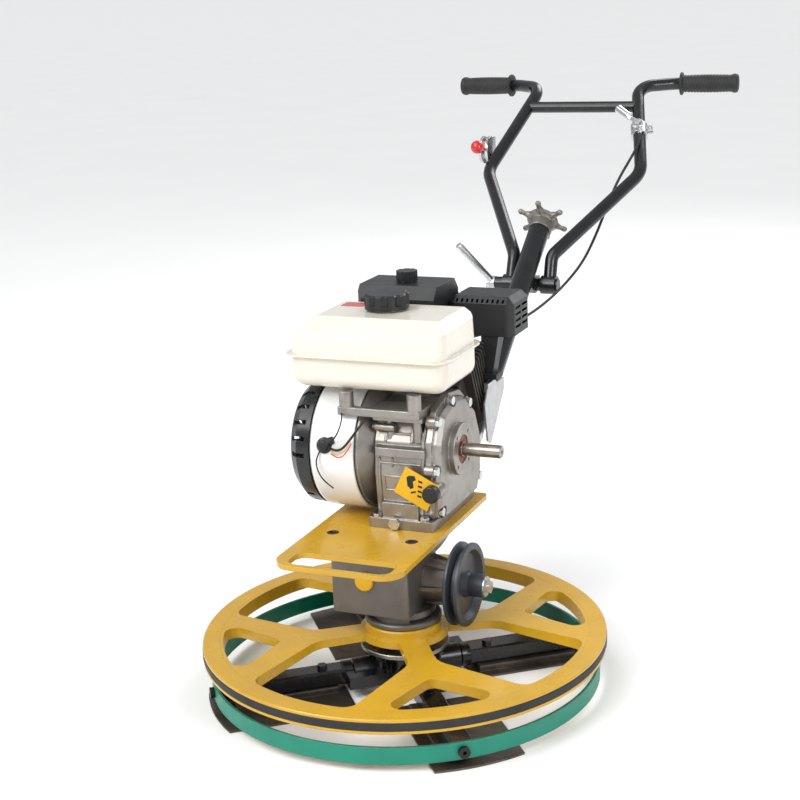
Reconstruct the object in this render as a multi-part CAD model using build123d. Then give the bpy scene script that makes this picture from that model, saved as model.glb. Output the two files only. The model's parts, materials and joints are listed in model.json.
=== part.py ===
from build123d import *
import math
import os

# Walk-behind power trowel, 600 mm guard ring, petrol engine on top of a worm gearbox.
# Frame: +Z up, X towards the drive-pulley side, Y towards the operator.
# The origin is on the rotor axis at the floor, under the blades.

# ---- driving dimensions (mm) ----
GUARD_R = 300.0
GUARD_TOP = 83.0
GUARD_DEPTH = 21.0
GUARD_RIM = 31.0
SPOKE_ANGLE = -56.0

ARM_ANGLE = -52.0
ARM_COUNT = 4
ARM_Z = 24.0
ARM_HALF = 12.0
ARM_WIDTH = 32.0
SHANK_R = 11.0
RING_R = 289.5
RING_WALL = 4.0
RING_Z = (12.2, 37.5)
BLADE_R = 296.0
BLADE_T = 3.0
BLADE_LEAD = -42.0
BLADE_TRAIL = 88.0
BLADE_INNER = 95.0
BOLT_RADII = (128.0, 218.0)

SHAFT_R = 12.5
SLEEVE_R = 18.95
WEAR_R = 66.0
WEAR_Z = 58.0
FLANGE_R = 57.0
FLANGE_Z = 100.0
HUB_R = 58.0

BOX_X = (-89.0, 32.0)
BOX_Y = (-58.0, 62.0)
BOX_Z = (121.0, 187.0)
WALL = 10.0
WORM_Y = 30.0
WORM_Z = 150.0
GEAR_MODULE = 2.0
WHEEL_TEETH = 20
WORM_PITCH_R = 10.0
PULLEY_R = 62.0
PULLEY_X = (75.0, 97.0)

PLATE_X = (-148.0, 50.0)
PLATE_Y = (-135.0, 240.0)
PLATE_Z = 210.0
PLATE_T = 8.0
SLOT_X = (-126.0, 34.0)
SLOT_Y = (-128.0, -82.0)

DECK = PLATE_Z + PLATE_T
CRANK_Y = 132.0
CRANK_Z = DECK + 107.0
CRANK_R = 10.0
JOURNAL_R = 11.0
CASE_X = (-61.0, 22.0)
COVER_FACE = 43.0
BOSS_FACE = 52.0
SHAFT_END = 114.0
SHOULDER = BOSS_FACE + 1
FOOT_X = (-72.0, 34.0)
FOOT_Y = (45.0, 225.0)
FOOT_TOP = DECK + 16
DRAIN_XZ = (-27.0, DECK + 10)
TANK_FEET = [(-101.0, 52.0), (8.0, 52.0), (-30.0, 185.0)]
SADDLE_Z = 404.0
ENGINE_BOLTS = [(-58.0, 51.0), (18.0, 51.0), (-58.0, 213.0), (18.0, 213.0)]
CYLINDER_TILT = 25.0
DRUM_R = 102.0
DRUM_X = (-160.0, -85.0)
DUCT_X = (-130.0, -98.0)
RECOIL_R = 100.0

TANK_X = (-201.0, 65.0)
TANK_Y = (40.0, 203.0)
TANK_SEAM = 478.0
TANK_TOP = 533.0
TANK_BOTTOM = 428.0
CAP_XY = (-68.0, 142.0)

HANDLE_X = -30.0
TUBE_R = 19.5
TUBE_WALL = 2.5
TUBE_START = (HANDLE_X, 64.0, WORM_Z)
TUBE_BEND = (HANDLE_X, 221.0, WORM_Z)
TUBE_END = (HANDLE_X, 782.0, 558.0)
PIVOT = (HANDLE_X, 712.0, 460.0)
PIVOT_R = 12.0
BAR_R = 12.0

FIT = 0.05
GAP = 0.3

os.makedirs("parts", exist_ok=True)


# ---- helpers ----
def save(name, *solids):
    """Write one node as one STEP file, one or more separate solids."""
    found = [s for shape in solids for s in shape.solids()]
    node = found[0] if len(found) == 1 else Compound(children=found)
    export_step(node, f"parts/{name}.step")


def box(x0, x1, y0, y1, z0, z1):
    return Pos((x0 + x1) / 2, (y0 + y1) / 2, (z0 + z1) / 2) * Box(x1 - x0, y1 - y0, z1 - z0)


def cyl(r, z0, z1, x=0.0, y=0.0):
    return Pos(x, y, (z0 + z1) / 2) * Cylinder(r, z1 - z0)


def cyl_x(r, x0, x1, y=0.0, z=0.0):
    return Pos((x0 + x1) / 2, y, z) * Rot(0, 90, 0) * Cylinder(r, x1 - x0)


def cyl_y(r, y0, y1, x=0.0, z=0.0):
    return Pos(x, (y0 + y1) / 2, z) * Rot(90, 0, 0) * Cylinder(r, y1 - y0)


def turned_z(points):
    """Solid of revolution about Z from (radius, height) points."""
    profile = make_face(Plane.XZ * Polyline(*points, close=True))
    return revolve(profile, Axis.Z)


def turned_x(points, y, z):
    """Solid of revolution about an X-parallel axis from (x, radius) points."""
    profile = make_face(Plane.XY * Polyline(*points, close=True))
    return Pos(0, y, z) * revolve(profile, Axis.X)


def rod(start, end, radius):
    """Straight round bar between two points."""
    a, b = Vector(*start), Vector(*end)
    return Plane(a, z_dir=b - a) * Pos(0, 0, (b - a).length / 2) * Cylinder(radius, (b - a).length)


def pipe(points, bends, radius, bore=0.0):
    """Round tube along straight runs joined by tangent arcs."""
    route = FilletPolyline(*points, radius=bends)
    start = Plane(route @ 0, z_dir=route % 0)
    tube = sweep(start * Circle(radius), path=route)
    if bore:
        tube -= sweep(start * Circle(bore), path=route)
    return tube


def hex_head(flats, height):
    """Hexagonal head standing on z = 0."""
    return extrude(RegularPolygon(flats / 2, 6, major_radius=False), height)


def bolt(head, flats, shank_r, length):
    """Hex bolt hanging from z = 0, its head above."""
    return hex_head(flats, head) + cyl(shank_r, -length, 0)


def slab(points, x0, x1):
    """Prism along X from an outline of (y, z) points."""
    outline = Plane.YZ * Polyline(*points, close=True)
    return Pos(x0, 0, 0) * extrude(make_face(outline), x1 - x0, dir=(1, 0, 0))


# ---- rotor: spider, arms, blades, stabiliser ring ----
def spider_hub():
    hub = cyl(38, 6, 46) + cyl(30, 46, 48)
    for i in range(ARM_COUNT):
        hub += Rot(0, 0, ARM_ANGLE + 90 * i) * cyl_x(20, 0, 82, 0, ARM_Z)
    hub -= cyl(SHAFT_R, 0, 60)
    for i in range(ARM_COUNT):
        hub -= Rot(0, 0, ARM_ANGLE + 90 * i) * cyl_x(SHANK_R + FIT, 37, 90, 0, ARM_Z)
    return hub


LEVER_XY = (47.0, 38.0)


def arm():
    low, high = ARM_Z - ARM_HALF, ARM_Z + ARM_HALF
    bar = box(92, 284.5, -ARM_WIDTH / 2, ARM_WIDTH / 2, low, high)
    bar = chamfer(bar.edges().filter_by(Axis.X), 2.5)
    lever = box(84.5, 97, 0, 46, ARM_Z - 8, ARM_Z + 10) + box(39.5, 97, 28, 46, ARM_Z - 8, ARM_Z + 10)
    body = bar + cyl_x(18, 84.5, 98, 0, ARM_Z) + lever
    body += cyl_x(SHANK_R, 38, 92, 0, ARM_Z)
    body -= cyl_x(5 + FIT, 258, 290, 0, ARM_Z)
    body -= cyl(4, 0, 60, *LEVER_XY)
    for x in BOLT_RADII:
        body -= cyl(4, 0, 60, x, 0)
    return body


def arm_screws():
    """Two blade bolts and the adjusting screw with its lock nut."""
    screws = [Pos(x, 0, ARM_Z + ARM_HALF) * bolt(6, 13, 4, 33) for x in BOLT_RADII]
    x, y = LEVER_XY
    adjuster = Pos(x, y, 52.2) * bolt(5.5, 13, 4, 36)
    adjuster += Pos(x, y, ARM_Z + 10) * hex_head(13, 6)
    return screws + [adjuster]


def blade():
    outline = make_face(Polyline(
        (BLADE_INNER, BLADE_LEAD), (BLADE_R, BLADE_LEAD), (BLADE_R, BLADE_TRAIL - 8),
        (BLADE_R - 8, BLADE_TRAIL), (BLADE_INNER, BLADE_TRAIL), close=True))
    sheet = extrude(outline & Circle(BLADE_R), BLADE_T)
    rib = box(108, 262, -26, 20, BLADE_T, ARM_Z - ARM_HALF)
    sheet += chamfer(rib.edges().group_by(Axis.Z)[-1], 1.5)
    for x in BOLT_RADII:
        sheet -= cyl(4, -1, 20, x, 0)
    return sheet


def stabiliser_ring():
    ring = cyl(RING_R, *RING_Z)
    ring -= cyl(RING_R - RING_WALL, 0, 60)
    for i in range(ARM_COUNT):
        ring -= Rot(0, 0, ARM_ANGLE + 90 * i) * cyl_x(5, 270, 300, 0, ARM_Z)
    return ring


def ring_screws():
    socket = Pos(294.8, 0, ARM_Z) * Rot(0, 90, 0) * extrude(RegularPolygon(3, 6), 6, both=True)
    screw = cyl_x(5, 262, 290, 0, ARM_Z) + (cyl_x(8, RING_R + 0.4, 296, 0, ARM_Z) - socket)
    screw += cyl_x(7, RING_R - 0.2, RING_R + 1, 0, ARM_Z) - cyl(RING_R, 0, 60)
    return [Rot(0, 0, ARM_ANGLE + 90 * i) * screw for i in range(ARM_COUNT)]


# ---- pitch control around the output shaft ----
def wear_plate():
    return turned_z([(SHAFT_R + 0.5, WEAR_Z), (WEAR_R - 1, WEAR_Z), (WEAR_R, WEAR_Z + 1),
                     (WEAR_R, WEAR_Z + 6), (WEAR_R - 1, WEAR_Z + 7), (SHAFT_R + 0.5, WEAR_Z + 7)])


def pitch_sleeve():
    low = WEAR_Z + 7 + GAP
    sleeve = turned_z([(SHAFT_R + 0.08, low), (34, low), (34, low + 7), (SLEEVE_R, low + 9),
                       (SLEEVE_R, 119), (SHAFT_R + 0.08, 119)])
    return sleeve - box(15.4, 22, -4.5, 4.5, 111.6, 118.2) - box(-22, -15.4, -4.5, 4.5, 111.6, 118.2)


YOKE_PIVOT_Y = 40.0
YOKE_Z = 115.0
YOKE_PIN_R = 2.5


def pitch_yoke():
    """Fork with two trunnions on the sleeve, pivoted behind it, and a tail lever."""
    yoke = box(-27, 27, YOKE_PIVOT_Y - 4.5, YOKE_PIVOT_Y + 4.5, YOKE_Z - 4.5, YOKE_Z + 4.5)
    for side in (-1, 1):
        prong = box(20, 26, -6, 40, 113, 118) + cyl_x(2.8, 16, 21, 0, YOKE_Z)
        yoke += prong if side > 0 else mirror(prong, Plane.YZ)
    yoke += box(-8, 8, YOKE_PIVOT_Y + 4, 118, 109, 114.5)
    yoke -= cyl_x(YOKE_PIN_R + FIT, -40, 40, YOKE_PIVOT_Y, YOKE_Z)
    return yoke - cyl(3, 100, 130, 0, 112)


def yoke_pin():
    return cyl_x(YOKE_PIN_R, -37, 37, YOKE_PIVOT_Y, YOKE_Z)


# ---- guard wheel ----
def guard_wheel():
    low = GUARD_TOP - GUARD_DEPTH
    inner = GUARD_R - GUARD_RIM
    wheel = turned_z([
        (44 + FIT, 80), (44 + FIT, 96.4), (40, 96.4), (40, 98.6), (56, 98.6), (HUB_R, 96.6),
        (HUB_R, 86.5), (inner + 4, GUARD_TOP - 0.5), (inner + 6, GUARD_TOP), (GUARD_R - 2, GUARD_TOP),
        (GUARD_R - 0.5, GUARD_TOP - 1.5), (GUARD_R - 0.5, GUARD_TOP - 4.5), (GUARD_R - 5, GUARD_TOP - 4.5),
        (GUARD_R - 5, low + 4), (GUARD_R - 0.5, low + 4), (GUARD_R - 0.5, low), (inner, low),
        (inner - 3, low + 4), (HUB_R, 76), (46, 76), (44 + FIT, 78)])
    web = 20.0
    pane = make_face(Polyline(
        (web, web), (135, web), (262, 141), (290, 290), (141, 262), (web, 135), close=True))
    pane = (pane & Circle(inner)) - Circle(66)
    corners = pane.vertices()
    pane = fillet(corners.filter_by(lambda v: Vector(v.X, v.Y).length > 200), 20)
    pane = fillet(pane.vertices().filter_by(lambda v: 120 < Vector(v.X, v.Y).length < 150), 40)
    fork = make_face(Polyline((183, 0), (262, 93), (300, 0), (262, -93), close=True)) & Circle(inner)
    fork = fillet(fork.vertices().filter_by(lambda v: v.X > 200 and abs(v.Y) > 20), 16)
    fork = fillet(fork.vertices().filter_by(lambda v: v.X < 200), 14)
    for i in range(4):
        turn = Rot(0, 0, SPOKE_ANGLE + 90 * i)
        wheel -= turn * (Pos(0, 0, 50) * extrude(pane, 60))
        wheel -= turn * (Pos(0, 0, 50) * extrude(fork, 60))
    return wheel


def guard_bumper():
    low, high = GUARD_TOP - GUARD_DEPTH + 4, GUARD_TOP - 4.5
    return turned_z([(GUARD_R - 5, low), (GUARD_R - 1, low), (GUARD_R, low + 2), (GUARD_R, high - 2),
                     (GUARD_R - 1, high), (GUARD_R - 5, high)])


def guard_bearing():
    ring = turned_z([(30, 80), (44, 80), (44, 96), (30, 96)])
    groove = turned_z([(35, 94), (39, 94), (39, 97), (35, 97)])
    return ring - groove


# ---- gearbox ----
def bearing_flange():
    flange = turned_z([(19, 77), (30, 77), (30, FLANGE_Z), (FLANGE_R - 1, FLANGE_Z),
                       (FLANGE_R, FLANGE_Z + 1.5), (FLANGE_R, FLANGE_Z + 6),
                       (FLANGE_R - 2, FLANGE_Z + 8), (19, FLANGE_Z + 8)])
    return flange - cyl(34, FLANGE_Z + 3.5, 120)


def gearbox_housing():
    body = box(*BOX_X, *BOX_Y, *BOX_Z)
    body = fillet(body.edges().filter_by(Axis.Z), 7)
    body += cyl(48, FLANGE_Z + 8, BOX_Z[0]) + box(28, 40, 31, 49, 108, 121) + box(-40, -28, 31, 49, 108, 121)
    body += turned_x([(BOX_X[1] - 2, 0), (BOX_X[1] - 2, 34), (66, 29), (72, 29), (72, 0)], WORM_Y, WORM_Z)
    rib = box(BOX_X[1] - 1, 66, -3, 3, 0, 40)
    rib -= Pos(66, 0, 32) * Rot(0, 14, 0) * Box(120, 20, 20, align=(Align.MAX, Align.CENTER, Align.MIN))
    for k in range(6):
        body += Pos(0, WORM_Y, WORM_Z) * Rot(30 + 60 * k, 0, 0) * rib
    body -= box(20, 80, -40, 100, 90, 112)
    body += cyl_y(28, BOX_Y[1] - 2, 95, HANDLE_X, WORM_Z)
    body -= cyl_y(TUBE_R, 64, 100, HANDLE_X, WORM_Z)
    cavity = box(BOX_X[0] + WALL, BOX_X[1] - WALL, BOX_Y[0] + WALL, BOX_Y[1] - WALL, BOX_Z[0] + WALL, BOX_Z[1])
    seat = cyl_x(29, BOX_X[0] + WALL - 1, -62, WORM_Y, WORM_Z) + cyl(34, 130, 138)
    body -= cavity - seat
    body -= cyl(24, 124, 138) + cyl(SLEEVE_R + 1, 118, 125) + cyl(34, 100, 118) + cyl(30, 182, BOX_Z[1])
    body -= cyl_x(22, -80, -62, WORM_Y, WORM_Z) + cyl_x(22, 54, 70, WORM_Y, WORM_Z)
    body -= cyl_x(14, 10, 60, WORM_Y, WORM_Z)
    for x0, x1 in ((-85, -60), (60, 80)):
        body -= cyl_x(CRANK_R + 0.5, x0, x1, WORM_Y, WORM_Z)
    body -= box(-27.5, 27.5, 20, 60, 100, BOX_Z[0]) + box(-9, 9, 44, 70, 100, BOX_Z[0] + 2)
    body -= cyl_x(YOKE_PIN_R, -37, 37, YOKE_PIVOT_Y, YOKE_Z)
    return body - cyl_y(8, BOX_Y[0] - 5, BOX_Y[0] + 20, -34, 174)


def gearbox_cover():
    lid = fillet(box(*BOX_X, *BOX_Y, BOX_Z[1], PLATE_Z).edges().filter_by(Axis.Z), 7)
    lid += fillet(box(-136, BOX_X[0] + 8, -20, 34, 200, PLATE_Z).edges().filter_by(Axis.Z), 7)
    room = box(BOX_X[0] + WALL, BOX_X[1] - WALL, BOX_Y[0] + WALL, BOX_Y[1] - WALL, BOX_Z[1], 200)
    lid -= room - cyl(30, 187, 200)
    lid += cyl(30, 182, 187)
    lid -= cyl(24, 182, 198)
    for x, y in ENGINE_BOLTS[:2]:
        lid -= cyl(4, 180, 220, x, y)
    for x, y in PLATE_SCREWS:
        lid -= cyl(5, 190, 220, x, y)
    return lid


PLATE_SCREWS = [(-113.0, 7.0), (16.0, 4.0)]


def ball_bearing(bore_r, outer_r, width):
    """Plain ring with the race groove on both faces."""
    middle = (bore_r + outer_r) / 2
    ring = cyl(outer_r, 0, width) - cyl(bore_r, -1, width + 1)
    groove = cyl(middle + 1.5, 0, 1.5) - cyl(middle - 1.5, -1, 2)
    return ring - groove - Pos(0, 0, width - 1.5) * groove


def bearings():
    lay = Rot(0, 90, 0)
    return [
        Pos(0, 0, 124) * ball_bearing(SHAFT_R + FIT, 24, 14),
        Pos(0, 0, 184) * ball_bearing(SHAFT_R + FIT, 24, 14),
        Pos(-79, WORM_Y, WORM_Z) * lay * ball_bearing(CRANK_R + FIT, 22, 12),
        Pos(56, WORM_Y, WORM_Z) * lay * ball_bearing(CRANK_R + FIT, 22, 12)]


def worm_shaft():
    root = WORM_PITCH_R - 1.2 * GEAR_MODULE
    lead = math.pi * GEAR_MODULE
    shaft = turned_x([(-84, 0), (-84, CRANK_R), (-30, CRANK_R), (-26, root), (26, root), (30, CRANK_R),
                      (117, CRANK_R), (117, 0)], WORM_Y, WORM_Z)
    path = Helix(pitch=lead, height=7 * lead, radius=root - 0.4)
    tip = 0.19 * lead / 2
    base = 0.27 * lead
    tall = WORM_PITCH_R + GEAR_MODULE - root + 0.4
    profile = Plane(path @ 0, x_dir=(1, 0, 0), z_dir=path % 0) * Polygon(
        (0, -base), (tall, -tip), (tall, tip), (0, base), align=None)
    thread = sweep(profile, path=path, is_frenet=True)
    thread = Pos(-3.5 * lead, WORM_Y, WORM_Z) * Rot(0, 90, 0) * Rot(0, 0, 90) * thread
    shaft -= cyl_x(5, 95, 120, WORM_Y, WORM_Z)
    return shaft + thread


def worm_wheel():
    tip_r = GEAR_MODULE * WHEEL_TEETH / 2 + GEAR_MODULE
    root_r = tip_r - 2.2 * GEAR_MODULE
    lead_angle = math.degrees(math.atan(math.pi * GEAR_MODULE / (2 * math.pi * WORM_PITCH_R)))
    wheel = cyl(root_r, 141, 159) + cyl(SHAFT_R + 3, 138.4, 161)
    tooth = extrude(Polygon((root_r - 1, -1.35), (tip_r, -0.75), (tip_r, 0.75), (root_r - 1, 1.35), align=None),
                    9, both=True)
    for k in range(WHEEL_TEETH):
        wheel += Rot(0, 0, 360 / WHEEL_TEETH * (k + 0.5)) * Pos(0, 0, WORM_Z) * Rot(-lead_angle, 0, 0) * tooth
    wheel &= cyl(tip_r, 138.4, 161)
    return wheel - cyl(SHAFT_R, 130, 170)


def output_shaft():
    shaft = cyl(SHAFT_R, 6, 197)
    return chamfer(shaft.edges().group_by(Axis.Z)[-1], 1)


def input_pulley():
    x0, x1 = PULLEY_X
    groove = 6.5
    middle = (x0 + x1) / 2
    wheel = turned_x([
        (73, CRANK_R), (73, 17), (x0 + 7, 17), (x0 + 7, 48), (x0, 50), (x0, PULLEY_R - 1), (x0 + 1, PULLEY_R),
        (middle - groove, PULLEY_R), (middle - 2, PULLEY_R - 13), (middle + 2, PULLEY_R - 13),
        (middle + groove, PULLEY_R), (x1 - 1, PULLEY_R), (x1, PULLEY_R - 1), (x1, 52), (x1 - 8, 46),
        (x1 - 8, 20), (x1, 17), (119, 17), (119, CRANK_R)], WORM_Y, WORM_Z)
    return wheel


def pulley_bolt():
    washer = cyl_x(15, 119, 121.5, WORM_Y, WORM_Z)
    head = Pos(121.5, WORM_Y, WORM_Z) * Rot(0, 90, 0) * hex_head(17, 7)
    return washer + head + cyl_x(5, 97, 121, WORM_Y, WORM_Z)


def oil_plug():
    head = cyl_y(14, BOX_Y[0] - 6, BOX_Y[0], -34, 174)
    head = chamfer(head.edges().group_by(Axis.Y)[0], 1.5)
    return head + cyl_y(8, BOX_Y[0], BOX_Y[0] + 10, -34, 174)


# ---- engine plate ----
def engine_plate():
    sheet = box(*PLATE_X, *PLATE_Y, PLATE_Z, DECK)
    sheet = fillet(sheet.edges().filter_by(Axis.Z).group_by(Axis.Y)[0], 32)
    sheet = fillet(sheet.edges().filter_by(Axis.Z).group_by(Axis.Y)[-1], 8)
    slot = box(*SLOT_X, *SLOT_Y, PLATE_Z - 1, DECK + 1)
    sheet -= fillet(slot.edges().filter_by(Axis.Z), 16)
    for x, y in PLATE_SCREWS:
        sheet -= cyl(9.5, PLATE_Z - 1, DECK + 1, x, y)
    for x, y in ENGINE_BOLTS:
        sheet -= cyl(4, PLATE_Z - 1, DECK + 1, x, y)
    return sheet


def deck_bolts():
    """Countersunk plate screws and the four engine bolts, the rear pair with nuts below."""
    screws = []
    for x, y in PLATE_SCREWS:
        socket = Pos(x, y, DECK - 4) * extrude(RegularPolygon(5, 6), 5)
        screws.append(cyl(9.5, PLATE_Z, DECK - 1, x, y) + cyl(5, PLATE_Z - 12, PLATE_Z, x, y) - socket)
    for i, (x, y) in enumerate(ENGINE_BOLTS):
        reach = 36 if i > 1 else 30
        screws.append(Pos(x, y, FOOT_TOP) * bolt(5.5, 13, 4, reach))
        if i > 1:
            screws[-1] += Pos(x, y, PLATE_Z - 6.5) * hex_head(13, 6.5)
    return screws


# ---- engine ----
CASE_OUTLINE = [(62, DECK + 12), (56, 300), (60, 350), (82, 390), (128, 404), (172, 398), (214, 366),
                (236, 318), (232, 262), (214, DECK + 12)]
TILT = math.radians(CYLINDER_TILT)


def along_cylinder(reach):
    """Point on the cylinder axis at a distance from the crank axis, as (y, z)."""
    return CRANK_Y + reach * math.cos(TILT), CRANK_Z + reach * math.sin(TILT)


def crankcase():
    body = slab(CASE_OUTLINE, *CASE_X)
    body = fillet(body.edges().filter_by(Axis.X), 9)
    foot = box(FOOT_X[0], FOOT_X[1], FOOT_Y[0], FOOT_Y[1], DECK, FOOT_TOP)
    body += fillet(foot.edges().filter_by(Axis.Z), 5)
    body += box(CASE_X[0] + 4, CASE_X[1], 49, 70, DECK + 8, DECK + 40)
    ledge = [(50, 330), (62, 330), (62, 347), (50, 343)]
    body += slab(ledge, CASE_X[0] + 4, CASE_X[1])
    body += box(CASE_X[0] + 1, CASE_X[1] - 3, 54, 90, 384, SADDLE_Z) + box(-112, CASE_X[1] - 3, 42, 54, 392, SADDLE_Z)
    body += cyl(12, 381, SADDLE_Z, *TANK_FEET[2])
    for x, y in TANK_FEET:
        body += cyl(11, SADDLE_Z - 4, TANK_BOTTOM, x, y)
    body += turned_x([(-85, 30), (-85, 97), (-81, 97), (-61, 70), (-61, 30)], CRANK_Y, CRANK_Z)
    hollow = slab([(78, 246), (74, 300), (80, 345), (96, 376), (130, 388), (166, 382), (200, 356),
                   (218, 314), (214, 266), (200, 246)], CASE_X[0] + 9, CASE_X[1])
    body -= hollow
    body -= cyl_x(14, -80, -40, CRANK_Y, CRANK_Z)
    for x, y in ENGINE_BOLTS:
        body -= cyl(4, DECK - 1, FOOT_TOP + 1, x, y) + cyl(9, FOOT_TOP, DECK + 45, x, y)
    return body - cyl_y(5, 40, 60, *DRAIN_XZ)


COVER_BOLTS = [(68, 383), (124, 402), (196, 380), (240, 312), (54, 312), (232, 250), (70, 244)]


def crankcase_cover():
    grow = 1.07
    outline = [(CRANK_Y + (y - CRANK_Y) * grow + 2, CRANK_Z + (z - CRANK_Z) * (grow if z > 260 else 1.0) + 2)
               for y, z in CASE_OUTLINE]
    rim = slab(outline, CASE_X[1], 31)
    rim = fillet(rim.edges().filter_by(Axis.X), 9)
    dome = slab(CASE_OUTLINE, 31, COVER_FACE)
    dome = fillet(dome.edges().filter_by(Axis.X), 12)
    dome = chamfer(dome.edges().group_by(Axis.X)[-1], 6)
    cover = rim + dome + cyl_x(40, COVER_FACE, BOSS_FACE, CRANK_Y, CRANK_Z)
    for y, z in COVER_BOLTS:
        cover += cyl_x(9, CASE_X[1], 36, y, z)
    cover += cyl_x(13, CASE_X[1], COVER_FACE, 66, 282) + cyl_y(13, 44, 66, 36, 282)
    cover -= cyl_x(22, 40, 60, CRANK_Y, CRANK_Z) + cyl_x(12, 10, 60, CRANK_Y, CRANK_Z)
    for k in range(4):
        turn = math.radians(45 + 90 * k)
        cover -= cyl_x(3, 44, 60, CRANK_Y + 32 * math.cos(turn), CRANK_Z + 32 * math.sin(turn))
    for y, z in COVER_BOLTS:
        cover -= cyl_x(4, 10, 50, y, z) + cyl_x(9.5, 36, 60, y, z)
    for x, y in ENGINE_BOLTS:
        cover -= cyl(9, DECK, DECK + 45, x, y)
    cover -= box(20, 60, 0, 300, 200, FOOT_TOP + 0.5)
    return cover - cyl_y(6, 40, 62, 36, 282)


def case_bolts():
    """Cover bolts and the oil drain bolt."""
    lay = Rot(0, 90, 0)
    bolts = [Pos(36, y, z) * lay * bolt(6, 13, 4, 13.5) for y, z in COVER_BOLTS]
    drain = hex_head(17, 7) + cyl(8.5, 0, 1.5) + cyl(5, -12, 0)
    drain = Pos(DRAIN_XZ[0], FOOT_Y[0], DRAIN_XZ[1]) * Rot(90, 0, 0) * drain
    return bolts + [drain]


def shaft_seal():
    return turned_x([(45, JOURNAL_R + FIT), (45, 22), (50.5, 22), (50.5, 15), (49, JOURNAL_R + FIT)],
                    CRANK_Y, CRANK_Z)


def crankshaft():
    tail = cyl_x(CRANK_R, -2, SHAFT_END, CRANK_Y, CRANK_Z)
    shaft = chamfer(tail.edges().group_by(Axis.X)[-1], 1.2) + cyl_x(JOURNAL_R, -2, SHOULDER, CRANK_Y, CRANK_Z)
    shaft += cyl_x(JOURNAL_R, -128, -32, CRANK_Y, CRANK_Z)
    for x0, x1 in ((-46, -32), (-2, 12)):
        shaft += cyl_x(40, x0, x1, CRANK_Y, CRANK_Z) - box(x0 - 1, x1 + 1, 90, CRANK_Y - 22, 280, 370)
    shaft += cyl_x(12, -33, -1, CRANK_Y + 22, CRANK_Z)
    return shaft - cyl_x(3, 90, SHAFT_END + 1, CRANK_Y, CRANK_Z)


def flywheel():
    wheel = turned_x([(-128, JOURNAL_R), (-128, 22), (-112, 30), (-112, 84), (-92, 84), (-92, 30), (-88, 22),
                      (-88, JOURNAL_R)], CRANK_Y, CRANK_Z)
    for k in range(12):
        fin = box(-126, -111, CRANK_Y - 1.5, CRANK_Y + 1.5, CRANK_Z + 44, CRANK_Z + 82)
        wheel += Pos(0, CRANK_Y, CRANK_Z) * Rot(30 * k, 0, 0) * Pos(0, -CRANK_Y, -CRANK_Z) * fin
    return wheel


def tilted_block(x0, x1, half, reach0, reach1):
    """Square block around the cylinder axis."""
    middle = along_cylinder((reach0 + reach1) / 2)
    return Pos((x0 + x1) / 2, *middle) * Rot(CYLINDER_TILT, 0, 0) * Box(x1 - x0, reach1 - reach0, 2 * half)


def cylinder():
    body = tilted_block(-58, 20, 40, 96, 205)
    body -= slab(CASE_OUTLINE, -70, 30)
    for k in range(9):
        reach = 118 + 9.0 * k
        body += fillet(tilted_block(-72, 36, 54, reach, reach + 3).edges().filter_by(Axis.Y, tolerance=26), 6)
    body += fillet(tilted_block(-50, 28, 36, 196, 214).edges().filter_by(Axis.X), 6)
    return body - cyl_x(120, -90, 60, CRANK_Y - 6, CRANK_Z - 18)


def fan_shroud():
    drum = cyl_x(DRUM_R, *DRUM_X, CRANK_Y, CRANK_Z)
    drum = fillet(drum.edges().group_by(Axis.X)[0], 10)
    top = along_cylinder(200)
    duct = slab([(120, 330), (150, CRANK_Z + DRUM_R - 4), (203, TANK_BOTTOM - 3), (top[0] - 26, top[1] + 56),
                 (top[0] + 8, top[1] + 34), (top[0] + 22, top[1] - 40), (200, CRANK_Z - 66)], *DUCT_X)
    shell = drum + fillet(duct.edges().filter_by(Axis.X), 10)
    inner = cyl_x(DRUM_R - 3, DRUM_X[0] + 3, DRUM_X[1], CRANK_Y, CRANK_Z)
    channel = slab([(130, 330), (154, CRANK_Z + DRUM_R - 9), (203, TANK_BOTTOM - 9), (top[0] - 27, top[1] + 51),
                    (top[0] + 4, top[1] + 31), (top[0] + 17, top[1] - 37), (200, CRANK_Z - 60)],
                   DUCT_X[0] + 3, DUCT_X[1])
    shell -= inner + channel
    return shell - cyl_x(78, -165, -150, CRANK_Y, CRANK_Z)


def recoil_cover():
    x0 = DRUM_X[0]
    cover = turned_x([(x0, 90), (x0, RECOIL_R), (x0 - 22, RECOIL_R - 2), (x0 - 36, RECOIL_R - 14), (x0 - 45, 62),
                      (x0 - 46, 0), (x0 - 43, 0), (x0 - 42, 61), (x0 - 34, RECOIL_R - 17), (x0 - 21, RECOIL_R - 5),
                      (x0 - 3, RECOIL_R - 3), (x0 - 3, 90)], CRANK_Y, CRANK_Z)
    for k in range(24):
        vent = box(x0 - 32, x0 - 8, CRANK_Y - 3.5, CRANK_Y + 3.5, CRANK_Z + 80, CRANK_Z + 110)
        vent += box(x0 - 50, x0 - 38, CRANK_Y - 3, CRANK_Y + 3, CRANK_Z + 40, CRANK_Z + 66)
        if 90 < k * 15 < 130:
            continue
        cover -= Pos(0, CRANK_Y, CRANK_Z) * Rot(15 * k, 0, 0) * Pos(0, -CRANK_Y, -CRANK_Z) * vent
    return cover


GRIP_TURN = math.radians(38)
GRIP_DIR = (0.0, math.cos(GRIP_TURN), math.sin(GRIP_TURN))
GRIP_X = DRUM_X[0] - 20.0


def on_recoil(radius, side=0.0):
    """Point at a radius along the starter rope's direction, shifted sideways in the YZ plane."""
    y = CRANK_Y + radius * GRIP_DIR[1] - side * GRIP_DIR[2]
    z = CRANK_Z + radius * GRIP_DIR[2] + side * GRIP_DIR[1]
    return GRIP_X, y, z


def starter_grip():
    bar = rod(on_recoil(RECOIL_R + 12, -26), on_recoil(RECOIL_R + 12, 26), 8)
    return fillet(bar.edges(), 3) + rod(on_recoil(RECOIL_R + 1), on_recoil(RECOIL_R + 12), 6)


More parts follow.
